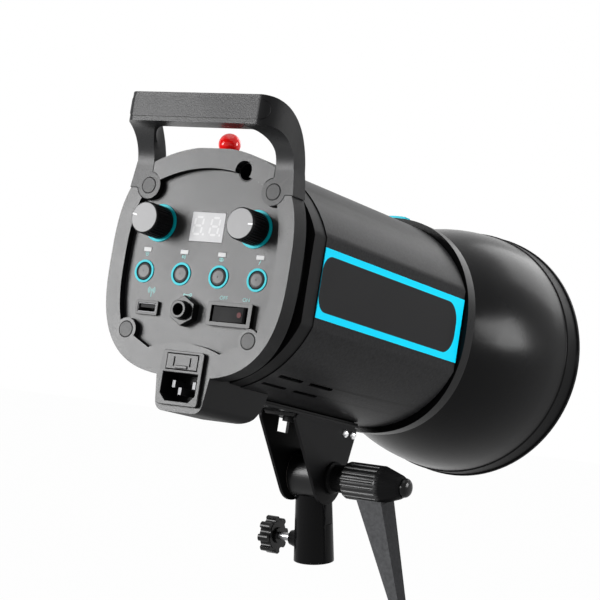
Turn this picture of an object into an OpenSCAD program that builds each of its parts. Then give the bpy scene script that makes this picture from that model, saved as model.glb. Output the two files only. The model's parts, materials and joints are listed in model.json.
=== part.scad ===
// Studio monolight strobe head: flash unit with a standard reflector,
// carried on a tilting U-bracket that clamps to a 16 mm light-stand spigot.
// The origin is the mouth of the stand socket, +Z is up and +X is the way the light points.

/* [Stand socket] */
// Bore for the stand spigot
spigot_bore_d = 16.2; // [16.1:0.05:16.4]
// Depth of the spigot bore
spigot_bore_depth = 36; // [30:1:38]
// Outer diameter of the socket at its mouth
socket_mouth_d = 25.2; // [24:0.2:28]
// Outer diameter of the socket under the pivot drum
socket_neck_d = 22.6; // [21:0.2:25]
// Height of the tilt pivot above the socket mouth
pivot_h = 53.7; // [52:0.1:60]
// Radius of the pivot drum
drum_r = 15; // [14:0.5:16]

/* [Lock knob] */
// Height of the lock screw above the socket mouth
lock_h = 12; // [11:0.5:16]
// Lock screw diameter
lock_screw_d = 5; // [4:0.5:6]
// Outer diameter of the star knob
lock_knob_d = 24; // [22:0.1:25]
// Distance from the socket axis to the inner face of the star knob
lock_knob_y = 26.7; // [25:0.1:30]
// Number of lobes on the star knob
lock_knob_lobes = 8; // [6:1:10]

/* [Tilt bracket] */
// Nose-down tilt of the head as drawn
head_tilt = 16.6; // [0:0.1:45]
// Height of the body axis above the tilt pivot
axis_h = 102.8; // [100:0.1:108]
// Outer width over the two bracket plates
bracket_w = 27; // [26:0.5:30]
// Sheet thickness of the bracket
bracket_t = 2; // [1.5:0.1:2.5]
// Rear end of the bracket, from the pivot
bracket_rear = -51; // [-54:0.5:-45]
// Front end of the bracket, from the pivot
bracket_front = 20; // [18:0.5:24]
// Pivot bolt diameter
bolt_d = 8; // [6:0.5:10]

/* [Tilt lever] */
// Largest diameter of the ribbed lever hub
hub_d = 23; // [22:0.2:25]
// Number of ribs round the hub
hub_ribs = 20; // [16:1:24]
// Length of the lever arm below the hub axis
lever_len = 90; // [80:1:100]
// How far the arm leans outwards at its tip
lever_lean = 21; // [15:0.5:24]

/* [Body] */
// Radius of the body tube
tube_r = 67; // [66:0.1:68]
// Distance from the axis to the flat sides of the tube
tube_flat = 62; // [61:0.1:63]
// Wall of the tube
tube_wall = 2; // [1.5:0.1:2.4]
// Rear end of the tube, from the pivot
tube_rear = -124; // [-128:0.5:-120]
// Front end of the tube, from the pivot
tube_front = 44; // [42:0.5:46]
// Length of one vent slot
vent_len = 25; // [20:0.5:28]

/* [Rear housing] */
// Rear face of the housing, from the pivot
bezel_x = -156.5; // [-157.5:0.1:-155.5]
// Depth of the housing rim
bezel_depth = 12.5; // [12:0.1:13]
// Half width of the rear face
bezel_half_w = 61.7; // [60:0.1:63]
// Half height of the rear face
bezel_half_h = 65.6; // [64:0.1:66.5]
// Squareness of the rear face, 2 is an ellipse
bezel_square = 2.85; // [2.4:0.05:3.2]
// Depth of the control panel below the rear face
panel_recess = 4; // [3:0.1:5]
// Width of the mains tower
tower_w = 38; // [36:0.5:40]
// Lowest point of the mains tower, below the axis
tower_drop = 84; // [83:0.5:86]
// Front end of the keel under the tube, from the pivot
keel_front = -96; // [-100:0.5:-92]

/* [Handle] */
// Half width over the handle ends
handle_half_w = 54.2; // [53.8:0.1:54.6]
// Height of the handle top above the axis
handle_top = 92.3; // [91.5:0.1:93.5]
// Height of the underside of the hand bar above the axis
bar_under = 75.6; // [75:0.1:76.5]
// How far the hand bar stands behind the rear face
bar_overhang = 26; // [24:0.5:27]

/* [Controls] */
// Spacing of the four buttons
button_pitch = 26.05; // [25.5:0.05:26.5]
// Diameter of a button cap
button_d = 10; // [9:0.1:10.4]
// Travel of a button
button_travel = 1; // [0.6:0.1:1]
// Diameter of a control knob
knob_d = 19; // [18:0.1:20]
// Height of a control knob
knob_h = 15.5; // [14:0.1:17]
// Tilt of the power rocker at rest, off side pressed
rocker_tilt = 6; // [4:0.5:6]

/* [Front] */
// Radius of the front collar
collar_r = 70; // [69:0.1:71]
// Rear face of the collar band, from the pivot
collar_x = 46; // [45.5:0.1:47]
// Width of the collar band
collar_w = 11; // [10:0.1:12]
// Outer radius of the reflector rim
rim_r = 83.8; // [82:0.1:86]
// Rim of the reflector, from the pivot
rim_x = 175.5; // [170:0.5:180]
// Focal length of the reflector's parabola
reflector_focus = 9.65; // [9.4:0.05:9.8]
// Wall of the reflector
reflector_wall = 1.2; // [1:0.1:1.5]

/* [Hidden] */
$fn = 64;

// Clearances: running fit for pins, and the gap beside parts that move
run_gap = 0.05;
move_gap = 0.3;
// Overrun of a cutting shape
over = 1;

// Bracket and pivot drum
plate_out = bracket_w / 2;
plate_in = plate_out - bracket_t;
washer_t = 1;
washer_gap = 0.2;
drum_half = plate_in - washer_t - washer_gap;
cheek_z = 24;
cheek_half = plate_in - 0.3;
washer_low = pivot_h - drum_r - 0.2;
bolt_r = bolt_d / 2;
bracket_top = -axis_h + 33.3;
plate_round_r = 16;
plate_round_x = -4;
plate_round_z = -1.2;
rail_rear = -89;
rail_front = 22;
rail_half = 13.5;
rail_bottom = bracket_top;

// Body tube
tube_in_r = tube_r - tube_wall;
tube_in_flat = tube_flat - tube_wall;
vent_w = 2.6;
vent_rows = [[143.8, -116, 33], [152.3, -119.5, 33.7]];
ring_rear = -136;
ring_r = 66.4;
ring_flat = 61.5;
neck_r = 58;
ring_wall = 3;
spigot_len = 8;

// Rear housing
bezel_front = bezel_x + bezel_depth;
bezel_rise = 1.2;
panel_x = bezel_x + panel_recess;
panel_t = 2.5;
panel_back = panel_x + panel_t;
panel_half_w = 51.8;
panel_half_h = 64;
panel_top_r = 82;
panel_top_v = 55.3;
panel_low_u = 24.8;
panel_low_v = -49.5;
panel_arch_v = -45.2;
panel_arch_r = 74;
plug_top = [43.1, 43.5];
plug_low = [42.3, -40.5];
plug_d = 9.1;
boss_r = 8;
boss_low_r = 6.8;
plug_t = 2.5;
screw_head_r = 3.4;
screw_head_t = 2.6;
screw_r = 1.75;
foot_v = 42;
foot_u = 42;
roof_front = -137;
roof_half = 38;
roof_r = 92;
roof_v = 67.4;
roof_t = 5.2;
keel_round = 20;
tower_corner = 6;
tower_half = tower_w / 2;
tower_low_half = tower_half - 2.7;
tower_u = 2.6;

// Handle
bar_rear = bezel_x - bar_overhang;
bar_depth = 13.5;
bar_front_rx = 19;
sweep_x = -181;
sweep_v = 48;
under_r = 20.5;
plan_half = 41.8;
plan_rx = 33.5;
plan_low = 57;
handle_corner = 3.5;
gap_half = foot_u + 0.2;
gap_corner = 12;
grip_half = 48;
grip_low = bar_under + 2.5;
grip_high = handle_top - 2.5;
grip_t = 2;
grip_proud = 0.4;

// Parts on the control panel, as [to the right, up] seen from behind
button_v = -5.85;
led_v = 6.9;
led_size = [5.5, 2.6];
knob_u = 33;
knob_v = 22.6;
knob_ring_d = 22;
shaft_r = 3;
display_at = [0, 22];
display_size = [23.1, 17.1];
usb_at = [-31.9, -26.8];
usb_size = [15.6, 8.3];
usb_port = [12.6, 5.2];
jack_at = [-4.3, -27];
jack_bore_r = 3.2;
jack_r = 5.2;
jack_end = panel_x - 9.6;
jack_bore_depth = 26;
nut_flats = 15.2;
nut_t = 5.4;
rocker_at = [26.2, -26.7];
rocker_frame_size = [30, 13.6];
rocker_size = [23.6, 8.4];
rocker_proud = 3.3;
rocker_pin_r = 1;
rocker_pin_len = 10;
rocker_axis_x = panel_x + 1;
board_x = panel_back + 5;
board_t = 1.6;
ring_proud = 0.8;

// Mains inlet with its fuse drawer
inlet_face = bezel_x - 2.5;
inlet_size = [28.4, 30.6];
inlet_v = -65.2;
inlet_cavity = [24, 16];
inlet_cavity_v = -70.2;
inlet_cavity_depth = 16;
drawer_size = [21, 8.4];
drawer_v = -56;
drawer_depth = 10;
fuse_r = 2.6;
fuse_len = 18;

// Umbrella shaft tube, beside the top of the body
umbrella_at = [20.9, 54.8];
umbrella_r = 4.75;
umbrella_out_r = 5.6;
umbrella_front = 47;
dome_x = -144.6;
dome_r = 6.4;
dome_top = 78.2;

// Front end
collar_flat = 65.8;
collar_front = collar_x + collar_w;
collar_in_r = 61;
mount_x = 47;
mount_t = 3;
mount_hole_r = 46.4;
lug_r = 51;
lug_angle = 24;
lug_turn = 45;
lug_t = 1.8;
neck_in_r = 44.5;
neck_out_r = 46;
reflector_back = collar_front + 1;
bowl_x0 = rim_x - 17.5 - pow(82.2, 2) / (4 * reflector_focus);
bead_x = 158;
base_rear = 32;
base_flange_t = 3;
base_front = 44;
base_r = 40;
flash_ring_r = 26;
flash_glass_r = 4.5;
flash_x = 60;
lamp_socket_r = 14;
lamp_r = 20;
button_half = 7;
button_slot_x = 46.4;

// Parts inside the tube
chassis_v = -44;
chassis_t = 2;
fan_x = -114;
fan_t = 20;
fan_half = 40;
fan_bore_r = 37.5;
fan_hub_r = 15;
fan_blades = 7;
cap_r = 20;
cap_len = 76;

lever_top_v = -9;
hub_rear_y = -plate_out - move_gap;
hub_rib_y = -25.5;
hub_cone_y = -50.3;
hub_end_y = -64.5;
hub_end_r = 6.2;
cap_end_y = -69;

// Points of a circular or elliptical arc, and of a rounded-square outline
function arc(cx, cy, rx, ry, from, to, steps) =
    [for (i = [0 : steps]) let (a = from + (to - from) * i / steps) [cx + rx * cos(a), cy + ry * sin(a)]];
function squircle(half_w, half_h, power, steps = 96) =
    [for (i = [0 : steps - 1]) let (a = 360 * i / steps)
        [half_w * sign(cos(a)) * pow(abs(cos(a)), 2 / power),
         half_h * sign(sin(a)) * pow(abs(sin(a)), 2 / power)]];
function bowl_r(x) = sqrt(4 * reflector_focus * (x - bowl_x0));

// The head's own frame: x along the light, z up from the body axis
module in_head() {
    translate([0, 0, pivot_h]) rotate([0, head_tilt, 0]) translate([0, 0, axis_h]) children();
}

// A place on the back, seen from behind: to the right and up
module at(place) {
    translate([0, -place[0], place[1]]) children();
}

// An outline in y and z, carried along x
module slab(from, to) {
    translate([from, 0, 0]) rotate([90, 0, 90]) linear_extrude(to - from) children();
}

// An outline in x and z, carried across y
module across(from, to) {
    translate([0, to, 0]) rotate([90, 0, 0]) linear_extrude(to - from) children();
}

// A profile of [radius, x] turned about the body axis
module turned(facets = 96) {
    rotate([0, 90, 0]) rotate_extrude($fn = facets) children();
}

// A profile of [radius, y] turned about the tilt axis
module turned_y(facets = 64) {
    rotate([-90, 0, 0]) rotate_extrude($fn = facets) children();
}

module rod_x(r, from, to) {
    translate([from, 0, 0]) rotate([0, 90, 0]) cylinder(r = r, h = to - from);
}

module rod_y(r, from, to) {
    translate([0, from, 0]) rotate([-90, 0, 0]) cylinder(r = r, h = to - from);
}

module box_at(place, size, from, to) {
    at(place) translate([from, -size[0] / 2, -size[1] / 2]) cube([to - from, size[0], size[1]]);
}

// A rectangle with rounded corners, centred
module soft_rect(size, r) {
    square([size[0] - 2 * r, size[1]], center = true);
    square([size[0], size[1] - 2 * r], center = true);
    for (sx = [-1, 1], sy = [-1, 1]) {
        translate([sx * (size[0] / 2 - r), sy * (size[1] / 2 - r)]) circle(r = r, $fn = 32);
    }
}

// A round section with two flat sides
module flat_round(r, flat) {
    intersection() {
        circle(r = r, $fn = 128);
        square([2 * flat, 2 * r + 2], center = true);
    }
}

module four_plugs() {
    for (side = [-1, 1]) {
        at([side * plug_top[0], plug_top[1]]) children();
        at([side * plug_low[0], plug_low[1]]) children();
    }
}

module four_buttons(v) {
    for (i = [-1.5 : 1 : 1.5]) {
        at([i * button_pitch, v]) children();
    }
}

// Stand socket and its lock screw

module stand_socket() {
    color("#1b1b1c") difference() {
        union() {
            intersection() {
                cylinder(d1 = socket_mouth_d, d2 = socket_neck_d, h = pivot_h - drum_r + 4);
                union() {
                    translate([-20, -20, 0]) cube([40, 40, cheek_z]);
                    translate([-20, -cheek_half, 0]) cube([40, 2 * cheek_half, washer_low]);
                    translate([-20, -drum_half, 0]) cube([40, 2 * drum_half, pivot_h]);
                }
            }
            translate([0, 0, pivot_h]) rod_y(drum_r, -drum_half, drum_half);
            translate([0, 0, lock_h]) rotate([-90, 0, 0]) translate([0, 0, 8]) cylinder(r1 = 7, r2 = 4.6, h = 8.5);
        }
        translate([0, 0, -over]) cylinder(d = spigot_bore_d, h = spigot_bore_depth + over);
        translate([0, 0, pivot_h]) rod_y(bolt_r + run_gap, -drum_half - over, drum_half + over);
        translate([0, 0, lock_h]) rod_y(lock_screw_d / 2 + run_gap, 0, 20);
    }
}

module friction_washers() {
    color("#3a3a3a") translate([0, 0, pivot_h]) for (side = [0, 1]) {
        mirror([0, side, 0]) difference() {
            rod_y(drum_r - 1, drum_half, drum_half + washer_t);
            rod_y(bolt_r + run_gap, drum_half - over, drum_half + washer_t + over);
        }
    }
}

module clamp_pad() {
    color("#b08d3c") translate([0, 0, lock_h]) rod_y(lock_screw_d / 2, 8.4, 10.8);
}

module lock_screw() {
    color("#c9c9c9") translate([0, 0, lock_h]) rod_y(lock_screw_d / 2, 10.8, lock_knob_y + 5);
}

module lock_knob() {
    lobe_r = 3;
    ring_r = lock_knob_d / 2 - lobe_r;
    color("#161616") translate([0, lock_knob_y, lock_h]) rotate([-90, 0, 0]) difference() {
        union() {
            cylinder(r = ring_r, h = 8);
            translate([0, 0, -1.4]) cylinder(r = 5, h = 2);
            translate([0, 0, 7]) cylinder(r1 = ring_r - 1, r2 = ring_r - 2.4, h = 1.8);
            for (i = [0 : lock_knob_lobes - 1]) {
                rotate(i * 360 / lock_knob_lobes) translate([ring_r, 0, 0.4]) cylinder(r = lobe_r, h = 7.2, $fn = 24);
            }
        }
        for (i = [0 : lock_knob_lobes - 1]) {
            rotate((i + 0.5) * 360 / lock_knob_lobes) translate([ring_r + 2, 0, -over])
                cylinder(r = 2.2, h = 12, $fn = 24);
        }
        translate([0, 0, -3]) cylinder(d = lock_screw_d, h = 8);
    }
}

// Tilt bracket and lever

// Outline of a bracket plate: the web's line above, rounded about the pivot below
module plate_outline() {
    top = bracket_top + axis_h;
    corner = 3;
    hull() {
        translate([plate_round_x, plate_round_z]) circle(r = plate_round_r, $fn = 48);
        translate([bracket_rear + corner, top - corner]) circle(r = corner, $fn = 24);
        translate([bracket_front - corner, top - corner]) circle(r = corner, $fn = 24);
    }
}

module tilt_bracket() {
    color("#17171a") in_head() translate([0, 0, -axis_h]) difference() {
        union() {
            across(-plate_out, -plate_in) plate_outline();
            across(plate_in, plate_out) plate_outline();
            translate([bracket_rear + 2, -plate_out, 33.3 - bracket_t])
                cube([bracket_front - bracket_rear - 4, bracket_w, bracket_t]);
        }
        rod_y(bolt_r, -20, 20);
        translate([-31, plate_in - over, 22.5]) cube([12, bracket_t + 2 * over, 8.5]);
        for (x = [7, 16]) {
            translate([x, 0, 28.4]) rod_y(1.5, -20, 20);
        }
        translate([-36, 0, 25]) cylinder(r = 3, h = 12);
        translate([6, 0, 25]) cylinder(r = 3, h = 12);
    }
}

module bracket_screws() {
    head = [[0, 0], [2.7, 0], [2.5, 0.8], [1.7, 1.5], [0.8, 1.9], [0, 2]];
    color("#d5d5d5") in_head() translate([0, 0, -axis_h]) {
        for (x = [7, 16], side = [0, 1]) {
            mirror([0, side, 0]) translate([x, -plate_out, 28.4]) rotate([180, 0, 0]) turned_y(32) polygon(head);
        }
        for (x = [-36, 6]) {
            translate([x, 0, 33.3 - bracket_t]) {
                cylinder(r = 3, h = 4);
                translate([0, 0, -2.6]) cylinder(r = 5, h = 2.6);
            }
        }
    }
}

module pivot_bolt() {
    color("#8f8f92") in_head() translate([0, 0, -axis_h]) {
        rod_y(bolt_r, -40, plate_out);
        translate([0, plate_out, 0]) rotate([-90, 0, 0]) {
            cylinder(r = 9, h = 1.2);
            translate([0, 0, 1.2]) cylinder(d = 15, h = 5, $fn = 6);
        }
    }
}

module mount_rail() {
    color("#2a2a2c") in_head() difference() {
        translate([rail_rear, -rail_half, rail_bottom])
            cube([rail_front - rail_rear, 2 * rail_half, tube_r + rail_bottom + 5.5]);
        rod_x(tube_r, rail_rear - over, rail_front + over);
        for (x = [-36, 6]) {
            translate([x, 0, rail_bottom - over]) cylinder(r = 3, h = 2 + over);
        }
        for (side = [-1, 1]) {
            translate([rail_rear - over, side * rail_half - 0.8, rail_bottom + 1.6])
                cube([rail_front - rail_rear + 2 * over, 1.6, 1.4]);
        }
    }
}

module lever_hub() {
    hub_r = hub_d / 2;
    bore_end = -41;
    profile = [
        [bolt_r + run_gap, hub_rear_y], [10, hub_rear_y], [10, hub_rear_y - 1.6], [8.4, hub_rear_y - 2.6],
        [8.8, hub_rib_y], [hub_r - 0.6, hub_rib_y], [hub_r, hub_rib_y - 1.2], [hub_r, hub_cone_y],
        [hub_end_r + 1.2, hub_end_y + 2], [hub_end_r, hub_end_y], [0, hub_end_y],
        [0, bore_end], [bolt_r + run_gap, bore_end]
    ];
    color("#131314") in_head() translate([0, 0, -axis_h]) difference() {
        turned_y(96) polygon(profile);
        for (i = [0 : hub_ribs - 1]) {
            rotate([0, i * 360 / hub_ribs, 0]) translate([0, 0, hub_r + 0.5])
                rod_y(1.3, hub_cone_y + 1, hub_rib_y + over, $fn = 16);
        }
    }
}

// A tapering arm, leaning outwards to its tip
module lever_arm() {
    arm_y = -44.3;
    top_half = [8.65, 7.6];
    tip_half = [1.6, 3.6];
    color("#333335") translate([0, 0, pivot_h]) difference() {
        hull() {
            translate([-top_half[1], arm_y - top_half[0], lever_top_v - 1]) cube([2 * top_half[1], 2 * top_half[0], 1]);
            translate([-tip_half[1], arm_y - lever_lean - tip_half[0], -lever_len])
                cube([2 * tip_half[1], 2 * tip_half[0], 1]);
        }
        rod_y(hub_d / 2 - 0.01, hub_cone_y, -19, $fn = 96);
        rotate([-90, 0, 0]) translate([0, 0, hub_end_y + 2])
            cylinder(r1 = hub_end_r + 1.2, r2 = hub_d / 2 - 0.01, h = hub_cone_y - hub_end_y - 2, $fn = 96);
    }
}

module lever_cap() {
    dome = [
        [0, hub_end_y], [5.6, hub_end_y], [5.6, hub_end_y - 0.5], [5.9, hub_end_y - 0.8],
        [5.9, hub_end_y - 1.4], [5.5, hub_end_y - 2.5], [4.5, hub_end_y - 3.6], [3, cap_end_y + 0.3],
        [1.5, cap_end_y + 0.07], [0, cap_end_y]
    ];
    color("#29292b") in_head() translate([0, 0, -axis_h]) turned_y(48) polygon(dome);
}

// Body

module umbrella_cut() {
    at(umbrella_at) rod_x(umbrella_out_r, bezel_x - 20, 100);
}

module body_tube() {
    color("#232325") in_head() difference() {
        slab(tube_rear, tube_front) difference() {
            flat_round(tube_r, tube_flat);
            flat_round(tube_in_r, tube_in_flat);
        }
        for (row = vent_rows, i = [0, 1], side = [-1, 1]) {
            rotate([side * row[0], 0, 0]) translate([row[1] + i * row[2], 0, 0]) {
                translate([vent_w / 2, 0, 50]) cylinder(d = vent_w, h = 30);
                translate([vent_len - vent_w / 2, 0, 50]) cylinder(d = vent_w, h = 30);
                translate([vent_w / 2, -vent_w / 2, 50]) cube([vent_len - vent_w, vent_w, 30]);
            }
        }
    }
}

module side_labels() {
    label_half = 20;
    label_t = 0.4;
    color("#00c8ff") in_head() for (side = [0, 1]) {
        mirror([0, side, 0]) translate([tube_rear, tube_flat, -label_half])
            cube([tube_front - tube_rear, label_t, 2 * label_half]);
    }
}

module rear_ring() {
    color("#3b3b3d") in_head() difference() {
        union() {
            slab(ring_rear, tube_rear) flat_round(ring_r, ring_flat);
            slab(tube_rear, tube_rear + spigot_len) flat_round(tube_in_r, tube_in_flat);
            rod_x(neck_r, bezel_front, ring_rear);
            four_plugs() rod_x(4.6, bezel_front, ring_rear);
        }
        rod_x(neck_r - ring_wall, bezel_front - over, tube_rear + spigot_len + over);
        four_plugs() rod_x(screw_r, bezel_front - over, tube_rear - 2);
        umbrella_cut();
    }
}

// Outline of the control panel, drawn in by a margin
module panel_outline(margin) {
    difference() {
        intersection() {
            polygon(squircle(panel_half_w - margin, panel_half_h - margin, 2.6));
            translate([0, panel_top_v - panel_top_r]) circle(r = panel_top_r - margin, $fn = 128);
            polygon([
                [-70, panel_low_v + 22.3 + margin], [-panel_low_u, panel_low_v + margin],
                [panel_low_u, panel_low_v + margin], [70, panel_low_v + 22.3 + margin], [70, 80], [-70, 80]
            ]);
        }
        translate([0, panel_arch_v - panel_arch_r]) circle(r = panel_arch_r + margin, $fn = 128);
        for (side = [-1, 1]) {
            translate([side * plug_top[0], plug_top[1]]) circle(r = boss_r + margin);
            translate([side * plug_low[0], plug_low[1]]) circle(r = boss_low_r + margin);
        }
    }
}

module bezel_outline() {
    translate([0, bezel_rise]) polygon(squircle(bezel_half_w, bezel_half_h, bezel_square));
}

module tower_outline() {
    low = -tower_drop + tower_corner;
    inset = tower_low_half - tower_corner;
    polygon(concat(
        [[-tower_half, -40], [-tower_half, -58]],
        arc(-inset, low, tower_corner, tower_corner, 186, 270, 8),
        arc(inset, low, tower_corner, tower_corner, 270, 354, 8),
        [[tower_half, -58], [tower_half, -40]]
    ));
}

// Space in the housing taken by one handle foot
module foot_outline(margin) {
    translate([foot_u + margin, foot_v + margin]) square([40, 40]);
    translate(plug_top) circle(r = boss_r - margin);
}

module keel_profile() {
    low = -tower_drop;
    polygon(concat(
        [[bezel_x, -40], [bezel_x, low]],
        arc(keel_front - keel_round, low + keel_round, keel_round, keel_round, -90, 0, 12),
        [[keel_front, -40]]
    ));
}

module rear_housing() {
    color("#3f4042") in_head() difference() {
        union() {
            slab(bezel_x, bezel_front) bezel_outline();
            at([tower_u, 0]) intersection() {
                slab(bezel_x, keel_front + over) tower_outline();
                across(-tower_half - over, tower_half + over) keel_profile();
            }
            intersection() {
                slab(bezel_front - over, roof_front) difference() {
                    translate([0, roof_v - roof_r]) circle(r = roof_r, $fn = 160);
                    translate([0, roof_v - roof_r]) circle(r = roof_r - roof_t, $fn = 160);
                }
                translate([bezel_x, -roof_half, 40]) cube([40, 2 * roof_half, 40]);
            }
        }
        slab(bezel_x - over, panel_back) panel_outline(0);
        slab(panel_back - over, bezel_front + over) panel_outline(3);
        for (side = [0, 1]) {
            mirror([0, side, 0]) slab(bezel_x - over, bezel_front + over) foot_outline(0);
        }
        slab(bezel_x - over, bezel_front + 8) difference() {
            translate([-70, 40]) square([140, 60]);
            translate([0, roof_v - roof_r]) circle(r = roof_r, $fn = 160);
        }
        slab(bezel_front, ring_rear) circle(r = neck_r + 0.1, $fn = 128);
        slab(ring_rear - 0.5, tube_rear) circle(r = ring_r + 0.1, $fn = 128);
        box_at(rocker_at, [27.4, 11.4], panel_back - over, bezel_front + over);
        rod_x(tube_r + 0.1, tube_rear - over, keel_front + 2 * over);
        for (side = [-1, 1]) {
            at([side * plug_low[0], plug_low[1]]) {
                rod_x(plug_d / 2, bezel_x - over, bezel_x + plug_t);
                rod_x(screw_head_r + 0.2, bezel_x, bezel_x + plug_t + screw_head_t + 0.4);
                rod_x(screw_r + 0.1, bezel_x, bezel_front + over);
            }
        }
        box_at([tower_u, inlet_v], [26.2, 28.4], bezel_x - over, panel_back + 4.5);
        box_at([tower_u, -70.4], [26.2, 18], bezel_x - over, -136.8);
        umbrella_cut();
        translate([dome_x, 0, 40]) cylinder(r = 4, h = 60);
    }
}

module control_panel() {
    color("#47484a") in_head() difference() {
        union() {
            slab(panel_x, panel_back) panel_outline(0.15);
            for (side = [-1, 1]) {
                at([side * button_pitch, -9]) rod_x(2.4, panel_back, board_x);
                at([side * 18, 27]) rod_x(2.4, panel_back, board_x);
            }
        }
        for (side = [-1, 1]) {
            at([side * knob_u, knob_v]) rod_x(shaft_r + 0.6, panel_x - over, panel_back + over);
        }
        four_buttons(button_v) rod_x(button_d / 2 + move_gap, panel_x - over, panel_back + over);
        four_buttons(led_v) translate([panel_x - over, -led_size[0] / 2, -led_size[1] / 2])
            cube([panel_t + 2 * over, led_size[0], led_size[1]]);
        box_at(display_at, display_size, panel_x - over, panel_back + over);
        box_at(usb_at, [13.6, 6.2], panel_x - over, panel_back + over);
        at(jack_at) rod_x(jack_r, panel_x - over, panel_back + over);
        box_at(rocker_at, [27.4, 11.4], panel_x - over, panel_back + over);
        umbrella_cut();
    }
}

// Handle

// Side view of a handle leg: up from the foot, swept back into the hand bar
module handle_profile() {
    foot_low = plug_top[1] - boss_r - 1;
    polygon(concat(
        [[bezel_x, foot_low]],
        arc(bezel_x - under_r, bar_under - under_r, under_r, under_r, 0, 90, 14),
        [[bar_rear, bar_under], [bar_rear, handle_top]],
        arc(sweep_x, sweep_v, bezel_front - sweep_x, handle_top - sweep_v, 90, 0, 20),
        [[bezel_front, foot_low]]
    ));
}

// Seen from behind: two legs joined by the hand bar
module handle_front() {
    w = handle_half_w;
    side_v = handle_top - handle_corner;
    top_u = w - handle_corner;
    gap_u = gap_half - gap_corner;
    gap_v = bar_under - gap_corner;
    difference() {
        polygon(concat(
            [[-56.4, foot_v], [-w, plan_low]],
            arc(-top_u, side_v, handle_corner, handle_corner, 180, 90, 6),
            arc(top_u, side_v, handle_corner, handle_corner, 90, 0, 6),
            [[w, plan_low], [56.4, foot_v]]
        ));
        polygon(concat(
            [[-gap_half, foot_v - over]],
            arc(-gap_u, gap_v, gap_corner, gap_corner, 180, 90, 10),
            arc(gap_u, gap_v, gap_corner, gap_corner, 90, 0, 10),
            [[gap_half, foot_v - over]]
        ));
    }
}

// Seen from above: the bar's ends curve forward into the legs; grow moves the line outwards
module handle_plan(grow) {
    rx = plan_rx + grow;
    ry = handle_half_w + 0.1 - plan_half + grow;
    corner_x = bar_rear + plan_rx;
    w = plan_half + ry;
    polygon(concat(
        [[bezel_front + over, -w]],
        arc(corner_x, -plan_half, rx, ry, 270, 180, 16),
        arc(corner_x, plan_half, rx, ry, 180, 90, 16),
        [[bezel_front + over, w]]
    ));
}

// The space before the hand bar, seen from above, rounded where the bar meets its legs
module bar_front() {
    half = gap_half - gap_corner;
    corner_x = bar_rear + bar_depth + bar_front_rx;
    translate([0, 0, bar_under - gap_corner - over]) linear_extrude(40) polygon(concat(
        [[bezel_front + over, -gap_half]],
        arc(corner_x, -half, bar_front_rx, gap_corner, 270, 180, 12),
        arc(corner_x, half, bar_front_rx, gap_corner, 180, 90, 12),
        [[bezel_front + over, gap_half]]
    ));
}

module grip_outline(margin) {
    translate([0, (grip_low + grip_high) / 2])
        soft_rect([2 * grip_half - 2 * margin, grip_high - grip_low - 2 * margin], 5.4);
}

// A skin along the back of the hand bar, between two depths
module grip_skin(margin, out) {
    intersection() {
        slab(bar_rear - 2, bar_rear + 20) grip_outline(margin);
        translate([0, 0, bar_under]) linear_extrude(handle_top - bar_under) difference() {
            handle_plan(out);
            handle_plan(-grip_t);
        }
    }
}

module handle() {
    color("#3a3b3d") in_head() difference() {
        union() {
            intersection() {
                across(-70, 70) handle_profile();
                slab(bar_rear - over, bezel_front + over) handle_front();
                union() {
                    translate([0, 0, plan_low]) linear_extrude(50) handle_plan(0);
                    translate([bezel_x - over, -70, 20]) cube([bezel_depth + 2 * over, 140, plan_low - 20]);
                }
            }
            for (side = [-1, 1]) {
                at([side * plug_top[0], plug_top[1]]) rod_x(boss_r - 0.1, bezel_x, bezel_front);
            }
        }
        bar_front();
        grip_skin(0, 1);
        for (side = [-1, 1]) {
            at([side * plug_top[0], plug_top[1]]) {
                rod_x(plug_d / 2, bezel_x - over, bezel_x + plug_t);
                rod_x(screw_head_r + 0.2, bezel_x, bezel_x + plug_t + screw_head_t + 0.4);
                rod_x(screw_r + 0.1, bezel_x, bezel_front + over);
            }
        }
    }
}

module handle_grip() {
    color("#2c2c2e") in_head() grip_skin(0.1, grip_proud);
}

module screw_plugs() {
    color("#4a4b4d") in_head() four_plugs() rod_x(plug_d / 2 - 0.1, bezel_x - 0.2, bezel_x + plug_t);
}

module housing_screws() {
    color("#9a9a9c") in_head() four_plugs() {
        rod_x(screw_head_r, bezel_x + plug_t + 0.2, bezel_x + plug_t + screw_head_t + 0.4);
        rod_x(screw_r, bezel_x + plug_t + screw_head_t, tube_rear - 4);
    }
}

module sensor_dome() {
    dome = concat(
        [[0, 60], [3.8, 60], [3.8, roof_v], [5, roof_v]],
        arc(0, dome_top - dome_r, dome_r, dome_r, -38, 90, 16)
    );
    color("#e0101c") in_head() translate([dome_x, 0, 0]) rotate_extrude($fn = 48) polygon(dome);
}

module umbrella_tube() {
    color("#111111") in_head() at(umbrella_at) difference() {
        rod_x(umbrella_out_r, panel_x + 0.1, umbrella_front);
        rod_x(umbrella_r, bezel_x - over, umbrella_front + over);
    }
}

// Controls

module display() {
    color("#d9dadb") in_head() box_at(display_at, display_size, panel_x - 0.3, board_x);
}

module indicator_leds() {
    color("#f2f2f2") in_head() four_buttons(led_v) translate([panel_x - 0.3, -led_size[0] / 2, -led_size[1] / 2])
        cube([board_x - panel_x + 0.3, led_size[0], led_size[1]]);
}

module knob_rings() {
    color("#25c3d6") in_head() for (side = [-1, 1]) {
        at([side * knob_u, knob_v]) difference() {
            rod_x(knob_ring_d / 2, panel_x - ring_proud, panel_x);
            rod_x(shaft_r + 0.6, panel_x - ring_proud - over, panel_x + over);
        }
    }
}

module button_rings() {
    color("#35d6e6") in_head() four_buttons(button_v) difference() {
        rod_x(6.7, panel_x - 0.5, panel_x);
        rod_x(button_d / 2 + move_gap, panel_x - over, panel_x + over);
    }
}

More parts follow.
